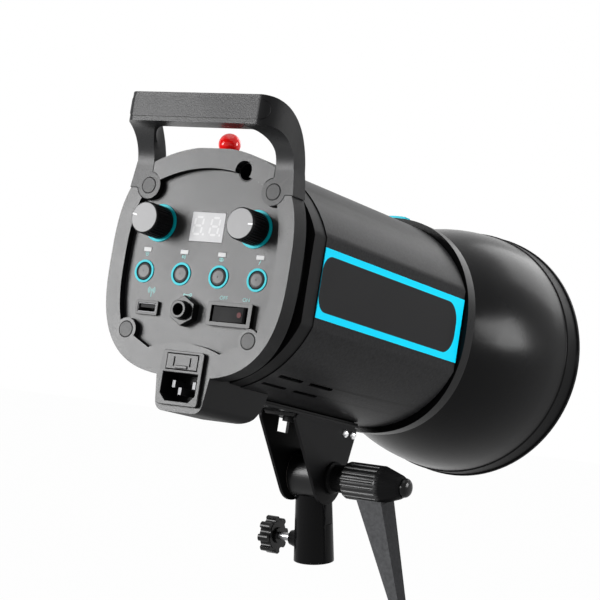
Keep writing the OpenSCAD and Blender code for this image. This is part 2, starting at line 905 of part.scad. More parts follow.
// A control knob: a grooved cylinder with a bevelled face, on its own shaft
module control_knob(side) {
    base = panel_x - ring_proud - move_gap;
    face = base - knob_h;
    r = knob_d / 2;
    profile = [
        [0, face], [r - 0.9, face], [r - 0.2, face + 0.8], [r, base - 3], [r, base], [shaft_r, base],
        [shaft_r, board_x - 0.4], [0, board_x - 0.4]
    ];
    in_head() at([side * knob_u, knob_v]) turned(64) polygon(profile);
}

module modelling_knob() {
    color("#1a1a1b") control_knob(-1);
}

module power_knob() {
    color("#1a1a1b") control_knob(1);
}

// A push button: slightly crowned cap, retaining flange and stem
module push_button(index) {
    r = button_d / 2;
    profile = [
        [0, panel_x - 0.8], [r - 1.4, panel_x - 0.7], [r - 0.3, panel_x - 0.4], [r, panel_x],
        [r, panel_back + move_gap], [r + 1, panel_back + move_gap], [r + 1, panel_back + 1.3],
        [1.5, panel_back + 1.3], [1.5, panel_back + 2.6], [0, panel_back + 2.6]
    ];
    color("#5a5b5e") in_head() at([(index - 1.5) * button_pitch, button_v]) turned(48) polygon(profile);
}

module model_button() {
    push_button(0);
}

module sound_button() {
    push_button(1);
}

module slave_button() {
    push_button(2);
}

module test_button() {
    push_button(3);
}

module usb_bezel() {
    color("#232324") in_head() difference() {
        union() {
            at(usb_at) slab(panel_x - 2, panel_x) soft_rect(usb_size, 1);
            box_at(usb_at, [13.4, 6], panel_x, panel_back);
        }
        box_at(usb_at, usb_port, panel_x - 2 - over, panel_back + over);
    }
}

module usb_shell() {
    color("#c8c8ca") in_head() difference() {
        box_at(usb_at, [usb_port[0] - 0.1, usb_port[1] - 0.1], panel_x - 1.6, panel_x + 13);
        box_at(usb_at, [usb_port[0] - 0.8, usb_port[1] - 0.8], panel_x - 1.6 - over, panel_x + 12.6);
    }
}

module usb_tongue() {
    color("#e6e6e6") in_head()
        box_at([usb_at[0], usb_at[1] + 1], [10.6, 1.8], panel_x - 0.6, panel_x + 12.6);
}

module sync_jack() {
    color("#2b2b2d") in_head() at(jack_at) difference() {
        union() {
            rod_x(jack_r - 0.05, jack_end, panel_back);
            rod_x(8, panel_back, panel_back + 16);
        }
        rod_x(jack_bore_r, jack_end - over, jack_end + jack_bore_depth);
    }
}

module jack_nut() {
    color("#38383a") in_head() at(jack_at) difference() {
        translate([panel_x - nut_t, 0, 0]) rotate([0, 90, 0]) cylinder(d = nut_flats / cos(30), h = nut_t, $fn = 6);
        rod_x(jack_r, panel_x - nut_t - over, panel_x + over);
    }
}

module rocker_frame() {
    color("#2e2f31") in_head() difference() {
        union() {
            at(rocker_at) slab(panel_x - rocker_proud, panel_x) soft_rect(rocker_frame_size, 0.8);
            box_at(rocker_at, [27.2, 11.2], panel_x, panel_back + 12);
        }
        box_at(rocker_at, [rocker_size[0] + 1.2, rocker_size[1] + 0.8], panel_x - rocker_proud - over, panel_x + 6);
        at(rocker_at) translate([rocker_axis_x, 0, -rocker_pin_len / 2 - 0.1])
            cylinder(r = rocker_pin_r + run_gap, h = rocker_pin_len + 0.2, $fn = 32);
    }
}

// The rocker turns about an upright pin; its face is a shallow V
module power_rocker() {
    half = rocker_size[0] / 2;
    edge = rocker_axis_x - panel_x + rocker_proud;
    face = [
        [-half, -edge + 0.6], [-half + 1, -edge - 0.2], [0, -edge + 1.1], [half - 1, -edge - 0.2], [half, -edge + 0.6],
        [half - 1.2, 0.6], [3, 2.6], [-3, 2.6], [-half + 1.2, 0.6]
    ];
    color("#151516") in_head() at(rocker_at) translate([rocker_axis_x, 0, -rocker_size[1] / 2])
        rotate(-rocker_tilt) linear_extrude(rocker_size[1]) polygon([for (p = face) [p[1], -p[0]]]);
    color("#151516") in_head() at(rocker_at) translate([rocker_axis_x, 0, -rocker_pin_len / 2])
        cylinder(r = rocker_pin_r, h = rocker_pin_len, $fn = 32);
}

module rocker_lamp() {
    edge = rocker_axis_x - panel_x + rocker_proud;
    color("#7a1020") in_head() at(rocker_at) translate([rocker_axis_x, 0, 0]) rotate(-rocker_tilt)
        translate([-edge - 0.3, -8.2, 0]) rotate([0, 90, 0]) cylinder(r = 1.6, h = 1.2);
}

module mains_inlet() {
    chamfer = 4;
    half = inlet_cavity[0] / 2;
    low = inlet_cavity_v - inlet_cavity[1] / 2;
    high = inlet_cavity_v + inlet_cavity[1] / 2;
    color("#2b2c2e") in_head() at([tower_u, 0]) difference() {
        union() {
            at([0, inlet_v]) slab(inlet_face, bezel_x) soft_rect(inlet_size, 2);
            box_at([0, inlet_v], [26, 28.2], bezel_x, panel_back + 4.3);
            box_at([0, -70.4], [26, 17.8], bezel_x, -137);
        }
        slab(inlet_face - over, inlet_face + inlet_cavity_depth) polygon([
            [-half, high], [half, high], [half, low + chamfer], [half - chamfer, low],
            [-half + chamfer, low], [-half, low + chamfer]
        ]);
        box_at([0, drawer_v], [drawer_size[0] + 2 * move_gap, drawer_size[1] + 2 * move_gap],
            inlet_face - over, inlet_face + drawer_depth + move_gap);
    }
}

module mains_pins() {
    floor_x = inlet_face + inlet_cavity_depth;
    color("#d8d2c0") in_head() at([tower_u, 0]) {
        for (side = [-1, 1]) {
            box_at([side * 7, inlet_cavity_v + 2], [2, 4], floor_x - 11, floor_x + 3);
        }
        box_at([0, inlet_cavity_v - 2], [2, 4], floor_x - 14, floor_x + 3);
    }
}

module fuse_drawer() {
    color("#333436") in_head() at([tower_u, 0]) difference() {
        union() {
            box_at([0, drawer_v], drawer_size, inlet_face - 0.2, inlet_face + drawer_depth);
            box_at([0, drawer_v - 3], [8, 1.6], inlet_face - 0.9, inlet_face + 1);
        }
        box_at([0, drawer_v], [fuse_len + 0.4, 5.6], inlet_face + 2, inlet_face + drawer_depth + over);
        for (side = [-1, 1]) {
            box_at([side * 5.5, drawer_v], [0.6, 5], inlet_face - over, inlet_face + 0.6);
        }
    }
}

module fuse() {
    color("#cfe3e6") in_head() at([tower_u, drawer_v]) translate([inlet_face + 2 + fuse_r, 0, 0])
        rod_y(fuse_r, -fuse_len / 2, fuse_len / 2);
}

// Front end

module front_collar() {
    color("#262628") in_head() difference() {
        union() {
            slab(collar_x, collar_front - 1.4) polygon(squircle(collar_flat, collar_r, 2.25, 128));
            slab(collar_front - 1.4, collar_front) polygon(squircle(collar_flat - 1, collar_r - 1, 2.25, 128));
            slab(tube_front, collar_x) flat_round(tube_in_r + 0.6, tube_in_flat + 0.6);
            slab(tube_front - spigot_len, tube_front) flat_round(tube_in_r, tube_in_flat);
        }
        rod_x(collar_in_r - 2, tube_front - spigot_len - over, collar_front + over);
        rod_x(collar_in_r, mount_x, collar_front + over);
        translate([button_slot_x, -button_half - move_gap, 50])
            cube([collar_front - 0.4 - button_slot_x, 2 * button_half + 2 * move_gap, 30]);
        umbrella_cut();
    }
}

module release_button() {
    front = collar_front - 0.7;
    len = 6.4;
    color("#19b9d2") in_head() intersection() {
        union() {
            translate([front - len, -button_half, 62]) cube([len, 2 * button_half, 20]);
            translate([front - 3, -3, 61.4]) cube([3, 6, 4]);
        }
        difference() {
            rod_x(collar_r + 2, collar_x, collar_front);
            for (i = [0 : 2]) {
                translate([front - 1.4 - i * 1.8, -20, collar_r + 1.2]) cube([0.8, 40, 4]);
            }
        }
    }
}

module lug_sector(inner, outer, angle) {
    intersection() {
        difference() {
            circle(r = outer, $fn = 128);
            circle(r = inner, $fn = 128);
        }
        reach = 2 * outer;
        polygon([
            [0, 0], [reach * cos(angle / 2), reach * sin(angle / 2)], [reach * cos(angle / 2), -reach * sin(angle / 2)]
        ]);
    }
}

module mount_plate() {
    color("#9da0a3") in_head() difference() {
        rod_x(collar_in_r, mount_x, mount_x + mount_t, $fn = 128);
        slab(mount_x - over, mount_x + mount_t + over) union() {
            circle(r = mount_hole_r, $fn = 128);
            for (i = [0 : 2]) {
                rotate(i * 120 + lug_turn) lug_sector(mount_hole_r - 1, lug_r + 0.8, lug_angle + 6);
            }
        }
        umbrella_cut();
        translate([mount_x - over, -4, 61.1]) cube([mount_t + 2 * over, 8, 4]);
    }
}

module lamp_base() {
    color("#e8e6df") in_head() difference() {
        union() {
            rod_x(collar_in_r - 2, base_rear + 4, base_rear + 4 + base_flange_t, $fn = 128);
            rod_x(base_r, base_rear + 4, base_front, $fn = 96);
        }
        umbrella_cut();
        rod_x(lamp_socket_r, base_rear, base_front + over);
    }
}

module flash_tube() {
    leg_angle = 15;
    color([0.85, 0.9, 0.95, 0.6]) in_head() {
        turned() translate([flash_ring_r, flash_x]) circle(r = flash_glass_r, $fn = 48);
        for (side = [-1, 1]) {
            rotate([side * leg_angle, 0, 0]) translate([0, 0, flash_ring_r])
                rod_x(flash_glass_r - 0.8, base_front, flash_x);
        }
    }
}

module lamp_socket() {
    color("#f0ede4") in_head() difference() {
        rod_x(lamp_socket_r, base_rear + 4, 54);
        rod_x(12, 40, 54 + over);
    }
}

module modelling_lamp() {
    neck = 11.8;
    bulb = concat(
        [[0, 40], [neck, 40], [neck, 58]],
        arc(0, 84, lamp_r, lamp_r, -52, 90, 18)
    );
    color([1, 0.96, 0.86, 0.7]) in_head() turned(48) polygon(bulb);
}

// The bowl: a thin parabola with a rolled bead and a straight rim
module reflector() {
    steps = 14;
    span = bead_x - reflector_back;
    function bowl(offset) = [for (i = [0 : steps]) let (x = reflector_back + span * i / steps) [bowl_r(x) - offset, x]];
    inner = bowl(reflector_wall);
    outline = concat(
        [[neck_in_r, mount_x - lug_t - 0.4], [neck_out_r, mount_x - lug_t - 0.4], [neck_out_r, reflector_back]],
        bowl(0),
        [[rim_r - 0.8, bead_x + 0.6], [rim_r - 0.9, rim_x - 3.2], [rim_r, rim_x - 2.4], [rim_r, rim_x],
         [rim_r - 1.6, rim_x], [rim_r - 0.9 - reflector_wall, rim_x - 3.2],
         [rim_r - 0.8 - reflector_wall, bead_x + 0.6]],
        [for (i = [0 : steps - 1]) inner[steps - i]],
        [[neck_in_r, reflector_back + reflector_wall]]
    );
    color("#1c1c1e") in_head() difference() {
        union() {
            turned(128) polygon(outline);
            for (i = [0 : 2]) {
                rotate([i * 120, 0, 0]) slab(mount_x - lug_t - move_gap, mount_x - move_gap)
                    lug_sector(neck_out_r - 0.7, lug_r, lug_angle);
            }
        }
        at(umbrella_at) rod_x(umbrella_r + 1.2, 52, 100);
    }
}

// Parts inside the tube

module chassis() {
    half = sqrt(pow(tube_in_r, 2) - pow(chassis_v - chassis_t, 2)) - 0.2;
    foot = sqrt(pow(tube_in_r, 2) - pow(5, 2));
    color("#8d9093") in_head() {
        translate([-115, -half, chassis_v - chassis_t]) cube([141, 2 * half, chassis_t]);
        for (x = [-36, 6]) {
            translate([x, 0, -foot]) cylinder(r = 5, h = foot + chassis_v - chassis_t);
        }
    }
}

module power_board() {
    color("#2f6b3a") in_head() {
        translate([-92, -40, chassis_v + 6]) cube([112, 80, 1.6]);
        for (x = [-86, 14], y = [-34, 34]) {
            translate([x, y, chassis_v]) cylinder(r = 3, h = 6);
        }
    }
}

module capacitors() {
    color("#20304f") in_head() for (side = [-1, 1]) {
        translate([0, side * 21, chassis_v + 7.6 + cap_r]) rod_x(cap_r, -84, -84 + cap_len);
    }
}

module control_board() {
    color("#2f6b3a") in_head() difference() {
        union() {
            box_at([0, 9], [84, 44], board_x, board_x + board_t);
            for (side = [-1, 1]) {
                box_at([side * knob_u, knob_v], [16, 16], panel_back, board_x);
            }
            four_buttons(button_v) rod_x(2.6, board_x - 1.2, board_x);
        }
        for (side = [-1, 1]) {
            at([side * knob_u, knob_v]) rod_x(shaft_r + run_gap, panel_back - over, board_x + 4);
        }
    }
}

module fan_frame() {
    color("#1d1d1f") in_head() difference() {
        union() {
            slab(fan_x, fan_x + fan_t) soft_rect([2 * fan_half, 2 * fan_half], 4);
            translate([fan_x, -30, chassis_v]) cube([fan_t, 60, 6]);
        }
        rod_x(fan_bore_r, fan_x + 4, fan_x + fan_t + over, $fn = 96);
        difference() {
            rod_x(fan_bore_r, fan_x - over, fan_x + 4, $fn = 96);
            rod_x(fan_hub_r, fan_x, fan_x + 5);
            for (i = [0 : 3]) {
                rotate([i * 90 + 45, 0, 0]) translate([fan_x, -2, 0]) cube([4, 4, 60]);
            }
        }
        rod_x(1.5 + run_gap, fan_x + 1, fan_x + 5);
    }
}

module fan_rotor() {
    color("#303033") in_head() {
        rod_x(fan_hub_r, fan_x + 4.4, fan_x + fan_t - 1);
        rod_x(1.5, fan_x + 1.4, fan_x + 5);
        for (i = [0 : fan_blades - 1]) {
            rotate([i * 360 / fan_blades, 0, 0]) translate([fan_x + 12, 0, fan_hub_r - 1])
                rotate([0, 0, 38]) translate([-1, -8, 0]) cube([2, 16, fan_bore_r - fan_hub_r - 1]);
        }
    }
}

stand_socket();
friction_washers();
clamp_pad();
lock_screw();
lock_knob();
tilt_bracket();
bracket_screws();
pivot_bolt();
mount_rail();
lever_hub();
lever_arm();
lever_cap();
body_tube();
side_labels();
rear_ring();
rear_housing();
control_panel();
handle();
handle_grip();
screw_plugs();
housing_screws();
sensor_dome();
umbrella_tube();
display();
indicator_leds();
knob_rings();
button_rings();
modelling_knob();
power_knob();
model_button();
sound_button();
slave_button();
test_button();
usb_bezel();
usb_shell();
usb_tongue();
sync_jack();
jack_nut();
rocker_frame();
power_rocker();
rocker_lamp();
mains_inlet();
mains_pins();
fuse_drawer();
fuse();
front_collar();
release_button();
mount_plate();
lamp_base();
flash_tube();
lamp_socket();
modelling_lamp();
reflector();
chassis();
power_board();
capacitors();
control_board();
fan_frame();
fan_rotor();
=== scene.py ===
import json
import math
import bpy
from mathutils import Matrix, Vector


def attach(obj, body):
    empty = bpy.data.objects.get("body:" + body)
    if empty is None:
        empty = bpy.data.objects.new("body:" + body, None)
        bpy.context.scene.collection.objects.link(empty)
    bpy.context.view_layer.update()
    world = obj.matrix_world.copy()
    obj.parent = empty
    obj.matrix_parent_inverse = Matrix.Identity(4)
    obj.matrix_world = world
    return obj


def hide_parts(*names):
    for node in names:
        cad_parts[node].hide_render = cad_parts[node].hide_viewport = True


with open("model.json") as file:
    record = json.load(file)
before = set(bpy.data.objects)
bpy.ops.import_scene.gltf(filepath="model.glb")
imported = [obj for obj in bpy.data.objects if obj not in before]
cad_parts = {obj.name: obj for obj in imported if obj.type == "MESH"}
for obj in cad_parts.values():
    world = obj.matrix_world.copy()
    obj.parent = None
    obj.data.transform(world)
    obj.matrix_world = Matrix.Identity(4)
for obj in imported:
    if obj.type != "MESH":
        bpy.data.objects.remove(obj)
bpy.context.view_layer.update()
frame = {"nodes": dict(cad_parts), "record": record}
nodes = frame["nodes"]
bodyOf = {n: body for body, names in frame["record"]["behaviour"]["bodies"].items() for n in names}

# the head's own frame: along the light, up from the body axis, millimetres
headTilt = math.radians(16.6)
pivotHeight = 0.0537
axisRise = 0.1028  # from the pivot up to the body axis
alongHead = Vector((math.cos(headTilt), 0, -math.sin(headTilt)))
upHead = Vector((math.sin(headTilt), 0, math.cos(headTilt)))
rightHead = Vector((0, -1, 0))  # to the right, seen from behind
axisStart = Vector((0, 0, pivotHeight)) + upHead * axisRise
# x to the right, y up, z to the rear
headTurn = Matrix((rightHead, upHead, -alongHead)).transposed().to_4x4()


def headPoint(x, u, v):
    return axisStart + (alongHead * x + rightHead * u + upHead * v) / 1000


def headParts(point):
    rel = (point - axisStart) * 1000
    return rel.dot(alongHead), rel.dot(rightHead), rel.dot(upHead)


# camera
camera = {"place": (-1.0671, -0.6904, 0.3340), "target": (-0.007475, 0.005354, 0.16343), "lens": 125.84}
lensData = bpy.data.cameras.new("photoLens")
lensData.lens = camera["lens"]
lensData.sensor_width = 36
lensData.clip_end = 30
photoCamera = bpy.data.objects.new("photoCamera", lensData)
photoCamera.location = camera["place"]
look = Vector(camera["target"]) - Vector(camera["place"])
photoCamera.rotation_euler = look.to_track_quat("-Z", "Y").to_euler()
bpy.context.scene.collection.objects.link(photoCamera)
bpy.context.scene.camera = photoCamera
bpy.context.scene.view_settings.view_transform = "Standard"
print("camera set")


class Val:
    # a value in a material: arithmetic on these adds Math nodes

    def __init__(self, tree, out):
        self.tree = tree
        self.out = out

    def calc(self, operation, first, second=0.0):
        node = self.tree.nodes.new("ShaderNodeMath")
        node.operation = operation
        for socket, value in zip(node.inputs, (first, second)):
            if isinstance(value, Val):
                self.tree.links.new(value.out, socket)
            else:
                socket.default_value = value
        return Val(self.tree, node.outputs[0])

    def __add__(self, other):
        return self.calc("ADD", self, other)

    def __radd__(self, other):
        return self.calc("ADD", other, self)

    def __sub__(self, other):
        return self.calc("SUBTRACT", self, other)

    def __mul__(self, other):
        return self.calc("MULTIPLY", self, other)

    def __rmul__(self, other):
        return self.calc("MULTIPLY", other, self)

    def __truediv__(self, other):
        return self.calc("DIVIDE", self, other)

    def __pow__(self, other):
        return self.calc("POWER", self, other)

    def __abs__(self):
        return self.calc("ABSOLUTE", self)

    def above(self, other):
        return self.calc("GREATER_THAN", self, other)

    def atLeast(self, other):
        return self.calc("MAXIMUM", self, other)

    def atMost(self, other):
        return self.calc("MINIMUM", self, other)

    def clamped(self):
        return self.atLeast(0.0).atMost(1.0)


class Finish:
    # a material under construction

    def __init__(self, name):
        self.material = bpy.data.materials.new(name)
        self.material.use_nodes = True
        self.tree = self.material.node_tree
        self.tree.nodes.clear()
        self.end = self.tree.nodes.new("ShaderNodeOutputMaterial")

    def node(self, kind, settings=None, sockets=None, out=0):
        node = self.tree.nodes.new(kind)
        for key, value in (settings or {}).items():
            setattr(node, key, value)
        for key, value in (sockets or {}).items():
            if isinstance(value, Val):
                self.tree.links.new(value.out, node.inputs[key])
            else:
                node.inputs[key].default_value = value
        return Val(self.tree, node.outputs[out])

    def place(self):
        return self.node("ShaderNodeTexCoord", out="Object")

    def noise(self, scale, detail=3.0, rough=0.55, place=None):
        return self.node("ShaderNodeTexNoise", {}, {
            "Vector": place or self.place(), "Scale": scale, "Detail": detail, "Roughness": rough})

    def mix(self, share, first, second):
        return self.node("ShaderNodeMix", {"data_type": "RGBA"}, {0: share, 6: first, 7: second}, 2)

    def wear(self, start, gain, spots):
        # how far an outer edge is rubbed, in spots
        edge = self.node("ShaderNodeNewGeometry", out="Pointiness")
        return ((edge - start) * gain).clamped() * self.noise(spots).clamped()

    def along(self, direction, origin):
        # millimetres from origin along a direction
        rel = self.node("ShaderNodeVectorMath", {"operation": "SUBTRACT"}, {0: self.place(), 1: tuple(origin)})
        reach = self.node("ShaderNodeVectorMath", {"operation": "DOT_PRODUCT"}, {0: rel, 1: tuple(direction)}, 1)
        return reach * 1000

    def bump(self, height, strength, distance):
        return self.node("ShaderNodeBump", {}, {"Strength": strength, "Distance": distance, "Height": height})

    def surface(self, sockets):
        shader = self.node("ShaderNodeBsdfPrincipled", {}, sockets)
        self.tree.links.new(shader.out, self.end.inputs["Surface"])
        return self.material


def tone(colour, factor):
    return tuple(min(1.0, c * factor) for c in colour) + (1.0,)


# moulded plastic: fine spark-eroded grain, slow drift of tone, rubbed edges
def moulded(name, colour, rough=0.5, grain=0.4, depth=0.2, drift=0.09, rub=0.25, specular=0.35,
            patch=34.0):
    paint = Finish(name)
    fine = paint.noise(1000 / grain, 2.0)
    slow = paint.noise(patch, 2.0)
    worn = paint.wear(start=0.53, gain=9.0, spots=420.0) * rub
    body = paint.mix(slow, tone(colour, 1 - drift), tone(colour, 1 + drift))
    skin = paint.mix(worn, body, tone([c * 1.4 + 0.03 for c in colour], 1.0))
    return paint.surface({
        "Base Color": skin,
        "Roughness": (rough + (fine - 0.5) * 0.2 + (slow - 0.5) * 0.12 - worn * 0.1).clamped(),
        "Normal": paint.bump(fine, depth, 0.0002), "Specular IOR Level": specular})


# powder coat over metal: soft orange peel
def coated(name, colour, rough=0.38, peel=1.1, depth=0.14, specular=0.2, rub=0.2):
    paint = Finish(name)
    skinGrain = paint.noise(1000 / peel, 1.5, 0.5)
    slow = paint.noise(26.0, 2.0)
    worn = paint.wear(start=0.54, gain=10.0, spots=600.0) * rub
    body = paint.mix(slow, tone(colour, 0.88), tone(colour, 1.12))
    return paint.surface({
        "Base Color": paint.mix(worn, body, (0.12, 0.12, 0.125, 1)),
        "Roughness": (rough + (skinGrain - 0.5) * 0.12 + (slow - 0.5) * 0.1).clamped(),
        "Normal": paint.bump(skinGrain, depth, 0.0003), "Specular IOR Level": specular})


# bare metal with a lay of fine scratches along one direction
def brightMetal(name, colour, rough=0.28, lay=(60.0, 900.0, 900.0), depth=0.08):
    paint = Finish(name)
    turned = paint.node("ShaderNodeMapping", {}, {"Vector": paint.place(), "Scale": lay})
    scratch = paint.noise(4.0, 3.0, 0.6, turned)
    slow = paint.noise(60.0, 2.0)
    return paint.surface({
        "Base Color": paint.mix(slow, tone(colour, 0.9), tone(colour, 1.06)), "Metallic": 1.0,
        "Roughness": (rough + (scratch - 0.5) * 0.22 + (slow - 0.5) * 0.1).clamped(),
        "Normal": paint.bump(scratch, depth, 0.0001)})


# tinted clear plastic seen as a solid gloss colour; glow adds a painted glow, though these parts are no lamps
def lensPlastic(name, colour, rough=0.12, coat=0.6, glow=0.0, specular=0.5):
    paint = Finish(name)
    slow = paint.noise(180.0, 2.0)
    return paint.surface({
        "Base Color": paint.mix(slow, tone(colour, 0.9), tone(colour, 1.08)),
        "Roughness": (rough + (slow - 0.5) * 0.08).clamped(), "Coat Weight": coat, "Coat Roughness": 0.06,
        "Emission Color": tone(colour, 1.0), "Emission Strength": glow, "Specular IOR Level": specular})


def clearGlass(name, colour, rough=0.02, clear=1.0):
    paint = Finish(name)
    slow = paint.noise(90.0, 2.0)
    return paint.surface({
        "Base Color": paint.mix(slow, tone(colour, 0.97), tone(colour, 1.0)),
        "Roughness": (rough + (slow - 0.5) * 0.02).clamped(), "Transmission Weight": clear, "IOR": 1.46})


# circular brushing about an axis through a point, for knob faces and the bowl
def turnedFace(name, colour, centre, axis, rough=0.34, metallic=0.0, pitch=0.16, depth=0.1, specular=0.5):
    paint = Finish(name)
    rel = paint.node("ShaderNodeVectorMath", {"operation": "SUBTRACT"}, {0: paint.place(), 1: tuple(centre)})
    across = paint.node("ShaderNodeVectorMath", {"operation": "CROSS_PRODUCT"}, {0: rel, 1: tuple(axis)})
    radius = paint.node("ShaderNodeVectorMath", {"operation": "LENGTH"}, {0: across}, 1) * (1000 / pitch)
    rings = paint.node("ShaderNodeTexNoise", {"noise_dimensions": "1D"}, {"W": radius, "Scale": 1.0, "Detail": 2.0})
    slow = paint.noise(90.0, 2.0)
    return paint.surface({
        "Base Color": paint.mix(slow, tone(colour, 0.93), tone(colour, 1.06)), "Metallic": metallic,
        "Roughness": (rough + (rings - 0.5) * 0.22).clamped(), "Normal": paint.bump(rings, depth, 0.0001),
        "Specular IOR Level": specular})


# printed side label: bright frame, open to the rear, round a bare dark field
def labelPrint(name, label):
    paint = Finish(name)
    x = paint.along(alongHead, axisStart)
    v = paint.along(upHead, axisStart)
    midX = (label["rear"] + label["fieldFront"]) / 2
    halfX = (label["fieldFront"] - label["rear"]) / 2
    corner = label["rearCorner"] + (label["frontCorner"] - label["rearCorner"]) * x.above(midX)
    overX = abs(x - midX) - halfX + corner
    overV = abs(v) - label["fieldHalf"] + corner
    beyond = (overX.atLeast(0.0) ** 2 + overV.atLeast(0.0) ** 2) ** 0.5
    outside = beyond + overX.atLeast(overV).atMost(0.0) - corner
    frameShare = (outside / label["blur"] + 0.5).clamped()
    slow = paint.noise(30.0, 2.0)
    fine = paint.noise(1600.0, 2.0)
    field = paint.mix(slow, tone(label["fieldColour"], 0.9), tone(label["fieldColour"], 1.1))
    bright = paint.mix(slow, tone(label["colour"], 0.95), tone(label["colour"], 1.04))
    return paint.surface({
        "Base Color": paint.mix(frameShare, field, bright),
        "Roughness": (0.36 + (fine - 0.5) * 0.1 + (slow - 0.5) * 0.1).clamped(),
        "Normal": paint.bump(fine, 0.05, 0.0001), "Specular IOR Level": 0.06})


# circuit board: lacquer with fine tracks
def boardPrint(name, colour):
    paint = Finish(name)
    track = paint.node("ShaderNodeTexBrick", {}, {
        "Vector": paint.place(), "Scale": 240.0, "Mortar Size": 0.03, "Mortar": (1, 1, 1, 1),
        "Color1": (0, 0, 0, 1), "Color2": (0.15, 0.15, 0.15, 1)})
    slow = paint.noise(60.0, 2.0)
    lacquer = paint.mix(slow, tone(colour, 0.8), tone(colour, 1.15))
    return paint.surface({
        "Base Color": paint.mix(track, lacquer, tone(colour, 1.8)),
        "Roughness": (0.3 + (slow - 0.5) * 0.1).clamped(),
        "Normal": paint.bump(track, 0.1, 0.0001)})


label = {
    "rear": -124.0, "fieldFront": 37.5, "fieldHalf": 16.0, "rearCorner": 9.0, "frontCorner": 13.0, "blur": 0.3,
    "colour": (0.0, 0.69, 1.0), "fieldColour": (0.007, 0.007, 0.0076),
}
knobCentres = {"modelling_knob": (-33.0, 22.6), "power_knob": (33.0, 22.6)}
knobGrey = (0.165, 0.165, 0.168)
shellGrey = (0.02, 0.0202, 0.021)
softBlack = (0.007, 0.007, 0.0074)

